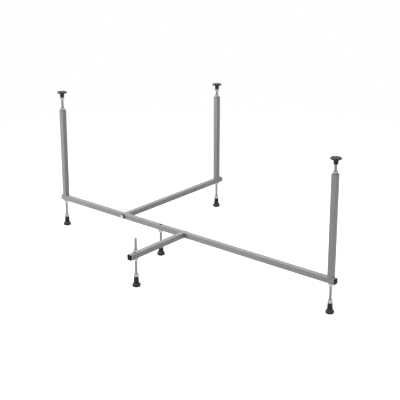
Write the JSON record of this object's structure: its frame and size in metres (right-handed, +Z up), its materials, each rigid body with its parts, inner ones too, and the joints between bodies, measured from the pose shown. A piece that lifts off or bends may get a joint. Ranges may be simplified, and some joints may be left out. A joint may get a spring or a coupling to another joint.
{
  "type": "bathtub support frame",
  "caption": "Steel-tube support frame for a bathtub: a long beam with side beams, upright posts with screwed rim pads, and screwed levelling feet.",
  "frame": {"origin": "on the floor, in the middle of the footprint of the beams", "axes": "+X along the main beam from the left post to the right one, +Y from the outrigger to the back post, +Z up"},
  "size_m": [1.675, 1.1304, 0.7148],
  "materials": {
    "frame_steel": "silver-grey powder coat",
    "cap_plastic": "moulded black polyethylene",
    "foot_plastic": "moulded black polypropylene",
    "pad_plastic": "moulded black polypropylene",
    "seal_rubber": "moulded black rubber",
    "thread_steel": "zinc-plated rolled thread",
    "plug_steel": "zinc-plated turned steel",
    "zinc_steel": "bright zinc plate"
  },
  "bodies": {
    "frame": {"main_beam": "frame_steel", "cross_beam": "frame_steel", "outrigger_beam": "frame_steel", "left_end_cap": "cap_plastic", "right_end_cap": "cap_plastic", "cross_end_cap": "cap_plastic", "outrigger_end_cap": "cap_plastic", "cross_beam_insert": "plug_steel", "cross_joint_washer": "seal_rubber", "cross_joint_bolt": "zinc_steel", "outrigger_beam_insert": "plug_steel", "outrigger_joint_washer": "seal_rubber", "outrigger_joint_bolt": "zinc_steel", "left_post": "frame_steel", "left_post_foot_plug": "plug_steel", "left_post_head_plug": "plug_steel", "back_post": "frame_steel", "back_post_foot_plug": "plug_steel", "back_post_head_plug": "plug_steel", "right_post": "frame_steel", "right_post_foot_plug": "plug_steel", "right_post_head_plug": "plug_steel", "beam_lock_washers": "zinc_steel", "beam_lock_nuts": "zinc_steel", "outrigger_top_washer": "zinc_steel", "outrigger_top_nut": "zinc_steel", "post_head_nuts": "zinc_steel"},
    "left_foot": {"left_foot_bell": "foot_plastic", "left_foot_washer": "zinc_steel"},
    "left_screw": {"left_foot_stud": "thread_steel", "left_foot_nut": "zinc_steel"},
    "back_foot": {"back_foot_bell": "foot_plastic", "back_foot_washer": "zinc_steel"},
    "back_screw": {"back_foot_stud": "thread_steel", "back_foot_nut": "zinc_steel"},
    "right_foot": {"right_foot_bell": "foot_plastic", "right_foot_washer": "zinc_steel"},
    "right_screw": {"right_foot_stud": "thread_steel", "right_foot_nut": "zinc_steel"},
    "middle_foot": {"middle_foot_bell": "foot_plastic", "middle_foot_washer": "zinc_steel"},
    "middle_screw": {"middle_foot_stud": "thread_steel", "middle_foot_nut": "zinc_steel"},
    "outrigger_foot": {"outrigger_foot_bell": "foot_plastic", "outrigger_foot_washer": "zinc_steel"},
    "outrigger_screw": {"outrigger_foot_stud": "thread_steel", "outrigger_foot_nut": "zinc_steel"},
    "left_pad_top": {"left_pad": "pad_plastic"},
    "left_pad_screw": {"left_pad_stem": "thread_steel", "left_pad_jam_nut": "zinc_steel"},
    "back_pad_top": {"back_pad": "pad_plastic"},
    "back_pad_screw": {"back_pad_stem": "thread_steel", "back_pad_jam_nut": "zinc_steel"},
    "right_pad_top": {"right_pad": "pad_plastic"},
    "right_pad_screw": {"right_pad_stem": "thread_steel"}
  },
  "joints": [
    {"name": "left_foot_height", "type": "slide", "parent": "frame", "child": "left_foot", "axis": [0, 0, -1], "range_m": [-0.063, 0.048]},
    {"name": "left_screw_turn", "type": "hinge", "parent": "left_foot", "child": "left_screw", "pos_m": [-0.8125, -0.19425, 0.1], "axis": [0, 0, -1], "range_deg": [-12961, 9876]},
    {"name": "back_foot_height", "type": "slide", "parent": "frame", "child": "back_foot", "axis": [0, 0, -1], "range_m": [-0.063, 0.048]},
    {"name": "back_screw_turn", "type": "hinge", "parent": "back_foot", "child": "back_screw", "pos_m": [-0.39, 0.52725, 0.1], "axis": [0, 0, -1], "range_deg": [-12961, 9876]},
    {"name": "right_foot_height", "type": "slide", "parent": "frame", "child": "right_foot", "axis": [0, 0, -1], "range_m": [-0.063, 0.048]},
    {"name": "right_screw_turn", "type": "hinge", "parent": "right_foot", "child": "right_screw", "pos_m": [0.8125, -0.19425, 0.1], "axis": [0, 0, -1], "range_deg": [-12961, 9876]},
    {"name": "middle_foot_height", "type": "slide", "parent": "frame", "child": "middle_foot", "axis": [0, 0, -1], "range_m": [-0.055, 0.013]},
    {"name": "middle_screw_turn", "type": "hinge", "parent": "middle_foot", "child": "middle_screw", "pos_m": [-0.15, -0.19425, 0.1], "axis": [0, 0, -1], "range_deg": [-11316, 2676]},
    {"name": "outrigger_foot_height", "type": "slide", "parent": "frame", "child": "outrigger_foot", "axis": [0, 0, -1], "range_m": [-0.063, 0.054]},
    {"name": "outrigger_screw_turn", "type": "hinge", "parent": "outrigger_foot", "child": "outrigger_screw", "pos_m": [-0.003, -0.52225, 0.1], "axis": [0, 0, -1], "range_deg": [-12961, 11110]},
    {"name": "left_pad_height", "type": "slide", "parent": "frame", "child": "left_pad_top", "axis": [0, 0, 1], "range_m": [-0.0443, 0.0085]},
    {"name": "left_pad_screw_turn", "type": "hinge", "parent": "left_pad_top", "child": "left_pad_screw", "pos_m": [-0.8125, -0.19425, 0.621], "axis": [0, 0, 1], "range_deg": [-9115, 1750]},
    {"name": "back_pad_height", "type": "slide", "parent": "frame", "child": "back_pad_top", "axis": [0, 0, 1], "range_m": [-0.0205, 0.032]},
    {"name": "back_pad_screw_turn", "type": "hinge", "parent": "back_pad_top", "child": "back_pad_screw", "pos_m": [-0.39, 0.52725, 0.621], "axis": [0, 0, 1], "range_deg": [-4219, 6584]},
    {"name": "right_pad_height", "type": "slide", "parent": "frame", "child": "right_pad_top", "axis": [0, 0, 1], "range_m": [-0.0293, 0.034]},
    {"name": "right_pad_screw_turn", "type": "hinge", "parent": "right_pad_top", "child": "right_pad_screw", "pos_m": [0.8125, -0.19425, 0.621], "axis": [0, 0, 1], "range_deg": [-6029, 6996]}
  ],
  "couplings": [
    {"joint": "left_screw_turn", "follows": "left_foot_height", "rad_per_m": 3590.4},
    {"joint": "back_screw_turn", "follows": "back_foot_height", "rad_per_m": 3590.4},
    {"joint": "right_screw_turn", "follows": "right_foot_height", "rad_per_m": 3590.4},
    {"joint": "middle_screw_turn", "follows": "middle_foot_height", "rad_per_m": 3590.4},
    {"joint": "outrigger_screw_turn", "follows": "outrigger_foot_height", "rad_per_m": 3590.4},
    {"joint": "left_pad_screw_turn", "follows": "left_pad_height", "rad_per_m": 3590.4},
    {"joint": "back_pad_screw_turn", "follows": "back_pad_height", "rad_per_m": 3590.4},
    {"joint": "right_pad_screw_turn", "follows": "right_pad_height", "rad_per_m": 3590.4}
  ]
}
